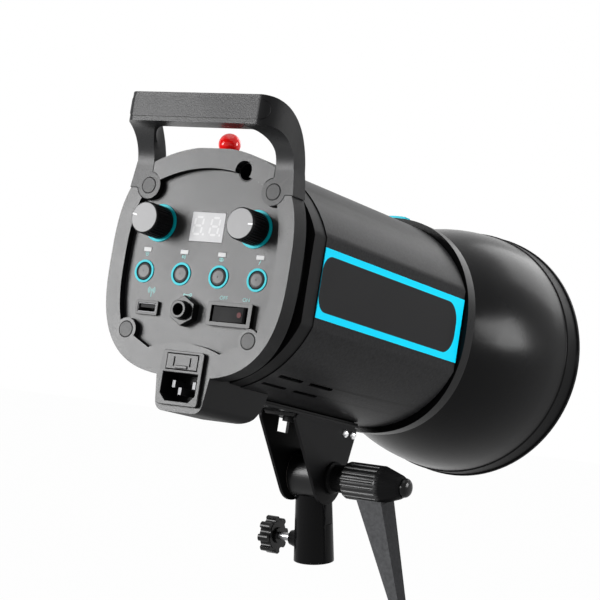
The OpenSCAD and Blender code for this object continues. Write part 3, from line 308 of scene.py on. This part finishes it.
finishes = {
    "shell": moulded("shellGrey", shellGrey, 0.32, 0.5, 0.45, 0.1, specular=0.26),
    "handle": moulded("handleGrey", shellGrey, 0.3, 0.5, 0.4, 0.1, specular=0.16),
    # the shell's plastic darkened: painted shade on the housing's outer side walls
    "shellPaintedShade": moulded("shellPaintedShade", (0.01, 0.0101, 0.0105), 0.45, 0.5, 0.4, 0.1, specular=0.05),
    # the handle's plastic darkened: painted shade on the sides of the handle and the grip
    "handlePaintedShade": moulded("handlePaintedShade", (0.014, 0.0141, 0.0147), 0.42, 0.5, 0.4, 0.1, specular=0.06),
    # painted shade on the recess walls and the plug bosses' walls; also the colour of the dark joint lines
    "shade": moulded("paintedShadeAndJoints", softBlack, 0.6, 0.5, 0.2, specular=0.05),
    "panel": moulded("panelGrey", shellGrey, 0.32, 0.35, 0.4, 0.1, specular=0.25),
    "keel": moulded("keelBlack", softBlack, 0.5, 0.5, 0.2, specular=0.07),
    "ring": moulded("ringBlack", softBlack, 0.42, 0.5, 0.18, specular=0.04),
    "grip": moulded("gripRubber", (0.02, 0.02, 0.021), 0.36, 0.8, 0.4, 0.1, 0.1, specular=0.17),
    "plug": moulded("plugGrey", shellGrey, 0.34, 0.4, 0.3, 0.08, specular=0.15),
    "black": moulded("blackPlastic", softBlack, 0.32, 0.4, 0.12, specular=0.1),
    "gloss": moulded("glossBlack", softBlack, 0.2, 0.5, 0.05, rub=0.1, specular=0.13),
    "leverGrey": moulded("leverGrey", (0.07, 0.071, 0.074), 0.5, 2.0, 1.0, 0.42, specular=0.06, patch=420.0),
    # the lever's grey darkened: painted shade on the lever's right face
    "leverPaintedShade": moulded("leverPaintedShade", (0.028, 0.0284, 0.03), 0.5, 2.0, 0.6, 0.4, specular=0.02, patch=420.0),
    "hub": moulded("hubBlack", softBlack, 0.2, 0.4, 0.06, rub=0.1, specular=0.14),
    "ribbed": moulded("ribbedBlack", softBlack, 0.36, 0.4, 0.06, rub=0.1, specular=0.4),
    "button": moulded("buttonGrey", (0.02, 0.02, 0.021), 0.33, 0.3, 0.15, 0.06, specular=0.21),
    "inlet": moulded("inletGrey", shellGrey, 0.33, 0.4, 0.3, 0.08, specular=0.23),
    "tube": coated("tubeCoat", (0.005, 0.005, 0.0053), 0.34, specular=0.034),
    "bracket": coated("bracketCoat", (0.006, 0.006, 0.0064), 0.45, 0.7, 0.2, 0.05),
    "cast": coated("castBlack", (0.004, 0.004, 0.0043), 0.24, 0.8, 0.12, 0.06),
    "drum": coated("drumBlack", (0.006, 0.006, 0.0064), 0.32, 0.8, 0.12, 0.22),
    "collar": coated("collarCoat", (0.006, 0.006, 0.0064), 0.3, specular=0.06),
    "bowlOutside": coated("bowlCoat", (0.004, 0.004, 0.0043), 0.23, 1.4, 0.08, 0.08),
    "rim": coated("rimCoat", (0.004, 0.004, 0.0043), 0.4, 1.4, 0.08, 0.02),
    "bowlInside": turnedFace("bowlBright", (0.86, 0.86, 0.87), axisStart, alongHead, 0.24, 1.0, 0.9, 0.25),
    "steel": brightMetal("brightSteel", (0.72, 0.72, 0.73)),
    "darkSteel": brightMetal("darkNickel", (0.28, 0.28, 0.29), 0.3),
    "dullSteel": brightMetal("dullNickel", (0.1, 0.1, 0.103), 0.5),
    "alu": brightMetal("plainAluminium", (0.66, 0.67, 0.68), 0.38, (900.0, 60.0, 900.0)),
    "brass": brightMetal("brassTip", (0.72, 0.55, 0.24), 0.3),
    "fibre": moulded("frictionFibre", (0.1, 0.09, 0.08), 0.75, 0.6, 0.4),
    # the rings' small emission is a painted glow
    "cyanRing": lensPlastic("cyanRing", (0.0, 0.4, 0.46), 0.4, 0.0, 0.05, specular=0.15),
    "cyanButton": lensPlastic("cyanButton", (0.0, 0.5, 0.62), 0.4, 0.0, specular=0.15),
    "label": labelPrint("sideLabel", label),
    "window": lensPlastic("displayWindow", (0.46, 0.459, 0.467), 0.4, 0.0, specular=0.1),
    "led": lensPlastic("ledLens", (0.44, 0.442, 0.445), 0.35, 0.0, specular=0.15),
    # painted glow on the red sensor dome, which is no lamp
    "dome": lensPlastic("domeRed", (0.72, 0.006, 0.006), 0.12, 0.1, 0.05, specular=0.25),
    "lampRed": lensPlastic("lampRed", (0.06, 0.003, 0.005), 0.4, 0.0, specular=0.08),
    "ceramic": moulded("ceramicWhite", (0.78, 0.77, 0.73), 0.5, 0.6, 0.15, 0.05, 0.0),
    "tubeGlass": clearGlass("flashGlass", (0.95, 0.97, 1.0)),
    "bulbGlass": clearGlass("bulbGlass", (1.0, 0.97, 0.9), 0.35, 0.75),
    "board": boardPrint("boardGreen", (0.03, 0.16, 0.06)),
    "sleeve": lensPlastic("capSleeve", (0.02, 0.03, 0.09), 0.3, 0.3),
    "marks": lensPlastic("markCyan", (0.12, 0.34, 0.33), 0.45, 0.0, specular=0.3),
    "whiteMark": lensPlastic("knobWhiteMark", (0.7, 0.71, 0.72), 0.4, 0.0, specular=0.2),
    "ghost": lensPlastic("ghostSegment", (0.56, 0.559, 0.565), 0.4, 0.0, specular=0.1),
}
for knobName, (u, v) in knobCentres.items():
    finishes[knobName] = turnedFace("face_" + knobName, knobGrey, headPoint(0, u, v), alongHead, 0.4, specular=0.3)
print("finishes made:", len(finishes))

nodeFinish = {
    "stand_socket": "cast", "friction_washers": "fibre", "clamp_pad": "brass", "lock_screw": "darkSteel",
    "lock_knob": "hub", "tilt_bracket": "bracket", "bracket_screws": "steel", "pivot_bolt": "darkSteel",
    "mount_rail": "cast", "lever_hub": "hub", "lever_arm": "leverGrey", "lever_cap": "hub", "body_tube": "tube",
    "side_labels": "label", "rear_ring": "ring", "rear_housing": "shell", "control_panel": "panel",
    "handle": "handle", "handle_grip": "grip", "screw_plugs": "plug", "housing_screws": "steel",
    "sensor_dome": "dome", "umbrella_tube": "black", "display": "window", "indicator_leds": "led",
    "knob_rings": "cyanRing", "button_rings": "cyanRing", "modelling_knob": "black", "power_knob": "black",
    "model_button": "button", "sound_button": "button", "slave_button": "button", "test_button": "button",
    "usb_bezel": "gloss", "usb_shell": "dullSteel", "usb_tongue": "keel", "sync_jack": "gloss",
    "jack_nut": "gloss", "rocker_frame": "gloss", "power_rocker": "ring", "rocker_lamp": "lampRed",
    "mains_inlet": "inlet", "mains_pins": "dullSteel", "fuse_drawer": "inlet", "fuse": "tubeGlass",
    "front_collar": "collar", "release_button": "cyanButton", "mount_plate": "steel", "lamp_base": "ceramic",
    "flash_tube": "tubeGlass", "lamp_socket": "ceramic", "modelling_lamp": "bulbGlass",
    "reflector": "bowlOutside", "chassis": "alu", "power_board": "board", "capacitors": "sleeve",
    "control_board": "board", "fan_frame": "black", "fan_rotor": "black",
}


def takeUp(piece):
    if bpy.context.mode != "OBJECT":
        bpy.ops.object.mode_set(mode="OBJECT")
    bpy.ops.object.select_all(action="DESELECT")
    piece.select_set(True)
    bpy.context.view_layer.objects.active = piece


def coat(piece, *names):
    piece.data.materials.clear()
    for name in names:
        piece.data.materials.append(finishes[name])


for nodeName, finishName in nodeFinish.items():
    coat(nodes[nodeName], finishName)
print("CAD nodes coated:", len(nodeFinish))


softening = {"weld": 0.000002, "flat": 0.4, "segments": 2, "limit": 32, "smooth": 40}  # metres, degrees


# a CAD solid with its edges broken, in place of the sharp one
def softened(nodeName, width):
    piece = nodes[nodeName].copy()
    piece.data = nodes[nodeName].data.copy()
    for key in list(piece.keys()):
        del piece[key]
    piece.name = nodeName + "Soft"
    piece.parent = None
    bpy.context.scene.collection.objects.link(piece)
    piece.matrix_world = Matrix.Identity(4)
    takeUp(piece)
    bpy.ops.mesh.customdata_custom_splitnormals_clear()
    bpy.ops.object.mode_set(mode="EDIT")
    bpy.ops.mesh.select_all(action="SELECT")
    bpy.ops.mesh.remove_doubles(threshold=softening["weld"])
    bpy.ops.mesh.dissolve_limited(angle_limit=math.radians(softening["flat"]))
    bpy.ops.object.mode_set(mode="OBJECT")
    edge = piece.modifiers.new("edge", "BEVEL")
    edge.width = width / 1000
    edge.segments = softening["segments"]
    edge.limit_method = "ANGLE"
    edge.angle_limit = math.radians(softening["limit"])
    bpy.ops.object.modifier_apply(modifier="edge")
    bpy.ops.object.shade_smooth_by_angle(angle=math.radians(softening["smooth"]))
    even = piece.modifiers.new("even", "WEIGHTED_NORMAL")
    even.keep_sharp = True
    bpy.ops.object.modifier_apply(modifier="even")
    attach(piece, bodyOf[nodeName])
    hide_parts(nodeName)
    return piece


edges = {
    "rear_housing": 0.7, "handle": 1.4, "handle_grip": 0.35, "control_panel": 0.15, "rear_ring": 0.5,
    "body_tube": 0.25, "front_collar": 0.8, "lock_knob": 0.5, "lever_arm": 0.9, "lever_hub": 0.25,
    "stand_socket": 0.5, "tilt_bracket": 0.35, "mount_rail": 0.6, "mains_inlet": 0.5, "fuse_drawer": 0.3,
    "rocker_frame": 0.5, "power_rocker": 0.35, "usb_bezel": 0.4, "jack_nut": 0.5, "sync_jack": 0.5,
    "display": 0.4, "indicator_leds": 0.3, "screw_plugs": 0.25, "release_button": 0.4, "modelling_knob": 0.3,
    "power_knob": 0.3, "knob_rings": 0.25, "button_rings": 0.2, "pivot_bolt": 0.4, "umbrella_tube": 0.2,
}
soft = {}
for nodeName, width in edges.items():
    soft[nodeName] = softened(nodeName, width)
print("edges broken on", len(soft), "pieces")

# second finishes on parts of a piece, by place or normal, among them painted shade on sides and recess walls;
# millimetres in the head's frame
wallLean = 0.6  # a face that looks less than this along the head is a wall
sideways = 0.7  # a face that looks further than this across is a side


def outwards(face, u, v):
    # how far a face looks away from the body axis
    return face.normal.dot((rightHead * u + upHead * v).normalized())


def isWall(face):
    return abs(face.normal.dot(alongHead)) < wallLean


def recoat(piece, names, choose):
    coat(piece, *names)
    for face in piece.data.polygons:
        face.material_index = int(choose(face, *headParts(face.center)))


housing = {"keelRear": -142.5, "keelTop": 40, "recess": (-155.9, -142), "edge": 0.1}
handle = {"plug": (43.1, 43.5), "boss": 8.3, "rear": -155.9, "side": 0.36}
knob = {"face": -0.9, "rear": -160}
inlet = {"face": -0.6, "rear": -158.4}
screwRow = 8  # the inner screws lie nearer the middle than this
drumDepth = 0.011  # of the drum below the pivot, metres
hubRibs = (-0.0535, -0.03)  # from the cone to the neck, across, metres


def housingFinish(face, x, u, v):
    if x > housing["keelRear"] and v < housing["keelTop"]:
        return 1
    away = outwards(face, u, v)
    # recess walls facing the middle take painted shade
    if isWall(face) and housing["recess"][0] < x < housing["recess"][1] and away < -housing["edge"]:
        return 2
    # outer side walls take the painted shade; the rest is the plain shell
    return 3 if isWall(face) and away > housing["edge"] else 0


def handleFinish(face, x, u, v):
    nearPlug = math.hypot(abs(u) - handle["plug"][0], v - handle["plug"][1]) < handle["boss"]
    # walls of the bosses round the plugs take painted shade
    if nearPlug and x > handle["rear"] and isWall(face) and outwards(face, u, v) < 0:
        return 1
    # the sides take the painted shade
    return 2 if abs(face.normal.dot(rightHead)) > handle["side"] else 0


recoat(soft["rear_housing"], ("shell", "keel", "shade", "shellPaintedShade"), housingFinish)
recoat(soft["handle"], ("handle", "shade", "handlePaintedShade"), handleFinish)
# the grip's sides take the handle's painted shade
recoat(soft["handle_grip"], ("grip", "handlePaintedShade"),
       lambda face, x, u, v: abs(face.normal.dot(rightHead)) > handle["side"])
for knobName in knobCentres:
    recoat(soft[knobName], ("black", knobName),
           lambda face, x, u, v: face.normal.dot(alongHead) < knob["face"] and x < knob["rear"])
recoat(soft["mains_inlet"], ("inlet", "black"),
       lambda face, x, u, v: face.normal.dot(alongHead) > inlet["face"] or x > inlet["rear"])
recoat(nodes["bracket_screws"], ("steel", "bracket"), lambda face, x, u, v: abs(u) < screwRow)
recoat(soft["stand_socket"], ("cast", "drum"),
       lambda face, x, u, v: face.center.z > pivotHeight - drumDepth and face.normal.y > -sideways)
recoat(soft["lever_hub"], ("ring", "ribbed"), lambda face, x, u, v: hubRibs[0] < face.center.y < hubRibs[1])
# the lever's right face takes the painted shade
recoat(soft["lever_arm"], ("leverGrey", "leverPaintedShade"), lambda face, x, u, v: face.normal.y < -sideways)

# the bowl's parabola swelled about the axis, ring by ring, in millimetres
# near the neck a ring moves back instead, so that its umbrella hole stays in line
swell = {
    "start": 58.0, "end": 158.0, "most": 5.5, "focus": 9.65, "tip": -17.05, "ease": (0.33, 0.7), "halvings": 24,
    "rimStart": 158.8, "inward": -0.01,
}


def parabolaRadius(x):
    return math.sqrt(4 * swell["focus"] * (x - swell["tip"]))


def bowlRadius(x):
    share = (x - swell["start"]) / (swell["end"] - swell["start"])
    return parabolaRadius(x) + swell["most"] * math.sin(math.pi * share)


bowl = softened("reflector", 0.2)
bowlFrame = Matrix.Translation(headPoint(0, 0, 0)) @ headTurn
bowl.matrix_world = bowlFrame.inverted()
takeUp(bowl)
bpy.ops.object.transform_apply(location=True, rotation=True, scale=True)
levels = {}  # points by half millimetres along the axis
for point in bowl.data.vertices:
    levels.setdefault(round(-point.co.z * 2000) / 2, []).append(point.index)
for x, ring in levels.items():
    share = (x - swell["start"]) / (swell["end"] - swell["start"])
    if not 0 < share < 1:
        continue
    early, late = swell["ease"]
    ease = min(max((share - early) / (late - early), 0), 1)
    ease = ease * ease * (3 - 2 * ease)
    radius = parabolaRadius(x) + ease * (bowlRadius(x) - parabolaRadius(x))
    grow = radius / parabolaRadius(x)
    low, high = swell["start"], x
    for _ in range(swell["halvings"]):
        centre = (low + high) / 2
        if bowlRadius(centre) < radius:
            low = centre
        else:
            high = centre
    bpy.ops.object.mode_set(mode="EDIT")
    bpy.ops.mesh.select_mode(type="VERT")
    bpy.ops.mesh.select_all(action="DESELECT")
    bpy.ops.object.mode_set(mode="OBJECT")
    for index in ring:
        bowl.data.vertices[index].select = True
    bpy.ops.object.mode_set(mode="EDIT")
    bpy.ops.transform.resize(value=(grow, grow, 1), orient_type="GLOBAL", center_override=(0, 0, -x / 1000))
    bpy.ops.transform.translate(value=(0, 0, (x - high) / 1000), orient_type="GLOBAL")
    bpy.ops.object.mode_set(mode="OBJECT")
bowl.matrix_world = bowlFrame
bpy.ops.object.transform_apply(location=True, rotation=True, scale=True)
bpy.ops.object.shade_smooth_by_angle(angle=math.radians(softening["smooth"]))
print("bowl swelled on", len(levels), "levels")


def bowlFinish(face, x, u, v):
    if face.normal.dot(rightHead * u + upHead * v) < swell["inward"] and x > swell["start"]:
        return 1
    return 2 if x > swell["rimStart"] else 0


recoat(bowl, ("bowlOutside", "bowlInside", "rim"), bowlFinish)
print("second finishes set")


knurl = {"facets": 64, "sunk": 0.25, "gap": 0.12, "wall": 0.2, "radius": 9, "span": (-168, -156), "smooth": 30}


# fine ribs round a knob: every second facet sunk
def knurled(piece, u0, v0):
    takeUp(piece)
    bpy.ops.object.mode_set(mode="EDIT")
    bpy.ops.mesh.select_mode(type="FACE")
    bpy.ops.mesh.select_all(action="DESELECT")
    bpy.ops.object.mode_set(mode="OBJECT")
    for face in piece.data.polygons:
        x, u, v = headParts(face.center)
        facet = int(math.degrees(math.atan2(v - v0, u - u0)) % 360 / (360 / knurl["facets"]))
        side = abs(face.normal.dot(alongHead)) < knurl["wall"] and math.hypot(u - u0, v - v0) > knurl["radius"]
        face.select = side and facet % 2 == 0 and knurl["span"][0] < x < knurl["span"][1]
    bpy.ops.object.mode_set(mode="EDIT")
    bpy.ops.mesh.inset(thickness=knurl["gap"] / 1000, depth=-knurl["sunk"] / 1000, use_individual=True)
    bpy.ops.object.mode_set(mode="OBJECT")
    bpy.ops.object.shade_smooth_by_angle(angle=math.radians(knurl["smooth"]))


for knobName, (u, v) in knobCentres.items():
    knurled(soft[knobName], u, v)
print("knobs ribbed")


flat = {"corner": 0.4, "steps": 36, "lift": 0.02}


# flat print in millimetres, to the right and up, later stood on a face
def bar(u, v, length, width, turn=0.0):
    bpy.ops.object.select_all(action="DESELECT")
    bpy.ops.mesh.primitive_plane_add(size=1)
    piece = bpy.context.object
    piece.scale = (length, width, 1)
    piece.rotation_euler.z = math.radians(turn)
    piece.location = (u, v, 0)
    bpy.ops.object.transform_apply(location=True, rotation=True, scale=True)
    bpy.ops.object.mode_set(mode="EDIT")
    bpy.ops.mesh.select_all(action="SELECT")
    bpy.ops.mesh.bevel(offset=min(length, width) * flat["corner"], segments=2, affect="VERTICES")
    bpy.ops.object.mode_set(mode="OBJECT")
    return piece


def arcLine(u, v, outer, width, start=0, end=360):
    bpy.ops.object.select_all(action="DESELECT")
    bpy.ops.mesh.primitive_circle_add(
        vertices=flat["steps"], radius=outer, fill_type="NGON", location=(u, v, 0))
    piece = bpy.context.object
    bpy.ops.object.transform_apply(location=True)
    bpy.ops.object.mode_set(mode="EDIT")
    bpy.ops.mesh.select_mode(type="FACE")
    bpy.ops.mesh.select_all(action="SELECT")
    bpy.ops.mesh.inset(thickness=width)
    bpy.ops.mesh.delete(type="FACE")
    bpy.ops.object.mode_set(mode="OBJECT")
    for face in piece.data.polygons:
        angle = math.degrees(math.atan2(face.center.y - v, face.center.x - u))
        face.select = (angle - start) % 360 > end - start
    bpy.ops.object.mode_set(mode="EDIT")
    bpy.ops.mesh.delete(type="FACE")
    bpy.ops.object.mode_set(mode="OBJECT")
    return piece


def word(text, u, v, size):
    bpy.ops.object.select_all(action="DESELECT")
    bpy.ops.object.text_add(location=(u, v, 0))
    piece = bpy.context.object
    piece.data.body = text
    piece.data.size = size
    piece.data.align_x = "CENTER"
    piece.data.align_y = "CENTER"
    bpy.ops.object.convert(target="MESH")
    bpy.ops.object.transform_apply(location=True)
    return bpy.context.object


# gathers flat shapes into one piece and stands it on the back at x
def stood(name, shapes, x, finishName, carrier, thick=0.07):
    piece = shapes[0]
    takeUp(piece)
    for shape in shapes:
        shape.select_set(True)
    bpy.ops.object.join()
    piece.name = name
    film = piece.modifiers.new("film", "SOLIDIFY")
    film.thickness = thick
    film.offset = 1
    bpy.ops.object.modifier_apply(modifier="film")
    place = Matrix.Translation(headPoint(x + flat["lift"], 0, 0))
    piece.matrix_world = place @ headTurn @ Matrix.Scale(0.001, 4)
    bpy.ops.object.transform_apply(location=True, rotation=True, scale=True)
    bpy.ops.object.mode_set(mode="EDIT")
    bpy.ops.mesh.select_all(action="SELECT")
    bpy.ops.mesh.normals_make_consistent(inside=False)
    bpy.ops.object.mode_set(mode="OBJECT")
    coat(piece, finishName)
    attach(piece, bodyOf[carrier])
    return piece


panelX = -152.5
marks = {
    "buttonU": (-39.08, -13.03, 13.03, 39.08), "v": 4.1, "line": 0.42, "thick": 0.5, "letter": 3.1,
    "offOn": ((18.8, -17.4), (34.1, -17.5)), "radio": (-31.7, -16.4), "plug": (-6.4, -17.3),
    "lampRays": (30, 60, 90, 120, 150), "rayReach": 1.5, "waves": (1.7, 2.6),
}
lampU, soundU, eyeU, boltU = marks["buttonU"]
line, thick, row = marks["line"], marks["thick"], marks["v"]
lampV = row - 0.1
prints = [arcLine(lampU, lampV, 0.95, line)]  # lamp
for turn in marks["lampRays"]:
    reach = math.radians(turn)
    rayU, rayV = marks["rayReach"] * math.cos(reach), marks["rayReach"] * math.sin(reach)
    prints.append(bar(lampU + rayU, lampV + rayV, 0.55, 0.3, turn))
soundU -= 0.9
prints += [bar(soundU, row, 1.7, 0.8, 90), arcLine(soundU, row, 1.3, line, -50, 50)]  # sound
prints.append(arcLine(soundU, row, 2.1, line, -45, 45))
prints.append(arcLine(eyeU, row, 0.7, 0.45))  # light cell
prints += [arcLine(eyeU, row - 1.1, 2.2, line, 40, 140), arcLine(eyeU, row + 1.1, 2.2, line, 220, 320)]
prints.append(bar(boltU, row, 1.1, line))  # bolt
for side in (1, -1):
    prints.append(bar(boltU + side * 0.25, row + side * 0.65, 1.5, line, 65))
u, v = marks["radio"]
prints += [bar(u, v - 2.5, 3.0, 0.6, 90), arcLine(u, v, 0.8, thick)]
for reach in marks["waves"]:
    prints += [arcLine(u, v, reach, thick, -48, 48), arcLine(u, v, reach, thick, 132, 228)]
u, v = marks["plug"]
prints += [bar(u, v, 3.4, thick), arcLine(u + 2.4, v, 0.9, thick), bar(u - 2.2, v, 1.2, 1.2)]
for text, (u, v) in zip(("OFF", "ON"), marks["offOn"]):
    prints.append(word(text, u, v, marks["letter"]))
stood("panelMarks", prints, panelX, "marks", "control_panel")

# unlit seven-segment digits behind the window
digits = {"centres": (-6.4, 5.0), "v": 22.6, "half": (2.75, 4.9), "width": 1.25, "lean": 7.0, "sunk": 0.3}
halfW, halfH = digits["half"]
slope = math.tan(math.radians(digits["lean"]))
segments = []
for centre in digits["centres"]:
    for level in (-halfH, 0, halfH):
        segments.append(bar(centre + level * slope, digits["v"] + level, 2 * halfW - 1.5, digits["width"]))
    for level in (-halfH / 2, halfH / 2):
        for side in (-halfW, halfW):
            place = centre + side + level * slope
            segments.append(bar(place, digits["v"] + level, halfH - 1.3, digits["width"], 90 - digits["lean"]))
    segments.append(arcLine(centre + halfW + 1.3, digits["v"] - halfH, 0.7, 0.65))
stood("windowDigits", segments, panelX - digits["sunk"], "ghost", "display", 0.04)

# dark joints round the plugs and the handle's feet
joint = {
    "x": -156.5, "width": 0.5, "plugs": (handle["plug"], (42.3, -40.5)), "ring": 4.95, "boss": 8.2, "foot": 42.0,
    "arcs": {1: ((-88, -9), (97, 135)), -1: ((-171, -92), (45, 83))},
}
jointWidth = joint["width"]
joints = []
for side in (-1, 1):
    for u, v in joint["plugs"]:
        joints.append(arcLine(side * u, v, joint["ring"], jointWidth))
    u, v = joint["plugs"][0]
    for reach in joint["arcs"][side]:
        joints.append(arcLine(side * u, v, joint["boss"], jointWidth, *reach))
    joints.append(bar(side * 53.5, joint["foot"], 4.6, jointWidth))
    joints.append(bar(side * joint["foot"], 54.6, 6.2, jointWidth, 90))
stood("jointLines", joints, joint["x"], "shade", "rear_housing", 0.05)

# a white bar on each knob face near its edge: at 168 degrees on the modelling knob, where its pointer is, and at
# the power knob's right edge
knobMarks = {"turns": {"modelling_knob": 168, "power_knob": 0}, "reach": 7.0, "size": (3.2, 0.9), "x": -169.1}
for knobName, turn in knobMarks["turns"].items():
    u, v = knobCentres[knobName]
    u += knobMarks["reach"] * math.cos(math.radians(turn))
    v += knobMarks["reach"] * math.sin(math.radians(turn))
    stood(knobName + "Mark", [bar(u, v, *knobMarks["size"], turn)], knobMarks["x"], "whiteMark", knobName, 0.06)
print("print and pointers made")

# floor, far below as under a light stand, and the white surround
surround = {"floor": -0.62, "size": 6.0, "ambient": 0.2, "floorGlow": 0.985}
white = Finish("surroundWhite")
ray = white.node("ShaderNodeLightPath", out="Is Camera Ray")
glossRay = white.node("ShaderNodeLightPath", out="Is Glossy Ray")
clearRay = white.node("ShaderNodeLightPath", out="Is Transmission Ray")
fine = white.noise(3.0, 2.0)
paper = white.mix(fine, (0.6, 0.6, 0.6, 1), (0.64, 0.64, 0.64, 1))
matte = white.node("ShaderNodeBsdfDiffuse", {}, {"Color": paper})
glow = white.node("ShaderNodeEmission", {}, {"Color": (1, 1, 1, 1), "Strength": 1.0})
share = ((ray + glossRay + clearRay) * surround["floorGlow"]).clamped()
shown = white.node("ShaderNodeMixShader", {}, {0: share, 1: matte, 2: glow})
white.tree.links.new(shown.out, white.end.inputs["Surface"])
takeUp(photoCamera)
bpy.ops.mesh.primitive_plane_add(size=surround["size"], location=(0, 0, surround["floor"]))
floor = bpy.context.object
floor.name = "floor"
floor.data.materials.append(white.material)

world = bpy.data.worlds.new("surround")
bpy.context.scene.world = world
world.use_nodes = True
tree = world.node_tree
tree.nodes.clear()
path = tree.nodes.new("ShaderNodeLightPath")
seen = Val(tree, path.outputs["Is Camera Ray"]) + Val(tree, path.outputs["Is Glossy Ray"])
seen = (seen + Val(tree, path.outputs["Is Transmission Ray"])).clamped()
level = tree.nodes.new("ShaderNodeMapRange")
level.inputs["To Min"].default_value = surround["ambient"]
level.inputs["To Max"].default_value = 1.0
tree.links.new(seen.out, level.inputs["Value"])
sky = tree.nodes.new("ShaderNodeBackground")
sky.inputs["Color"].default_value = (1, 1, 1, 1)
tree.links.new(level.outputs["Result"], sky.inputs["Strength"])
worldEnd = tree.nodes.new("ShaderNodeOutputWorld")
tree.links.new(sky.outputs[0], worldEnd.inputs["Surface"])

lamps = {
    "keyBox": {"toward": (-0.76, 0.59, 0.285), "away": 1.5, "size": 0.6, "watts": 30.0},
    "topBox": {"toward": (0.05, -0.05, 1.0), "away": 1.5, "size": 1.2, "watts": 9.0},
    "spotBox": {"toward": (0.47, -0.87, 0.12), "away": 1.6, "size": 0.55, "watts": 19.0},
    "frontBox": {"toward": (0.95, -0.1, 0.28), "away": 1.8, "size": 1.0, "watts": 8.0},
}
middle = Vector((0.0, 0.0, 0.14))
for name, lamp in lamps.items():
    data = bpy.data.lights.new(name, "AREA")
    data.energy = lamp["watts"]
    data.size = lamp["size"]
    box = bpy.data.objects.new(name, data)
    box.location = middle + Vector(lamp["toward"]).normalized() * lamp["away"]
    box.rotation_euler = (middle - box.location).to_track_quat("-Z", "Y").to_euler()
    bpy.context.scene.collection.objects.link(box)
print("floor, surround and lamps set")
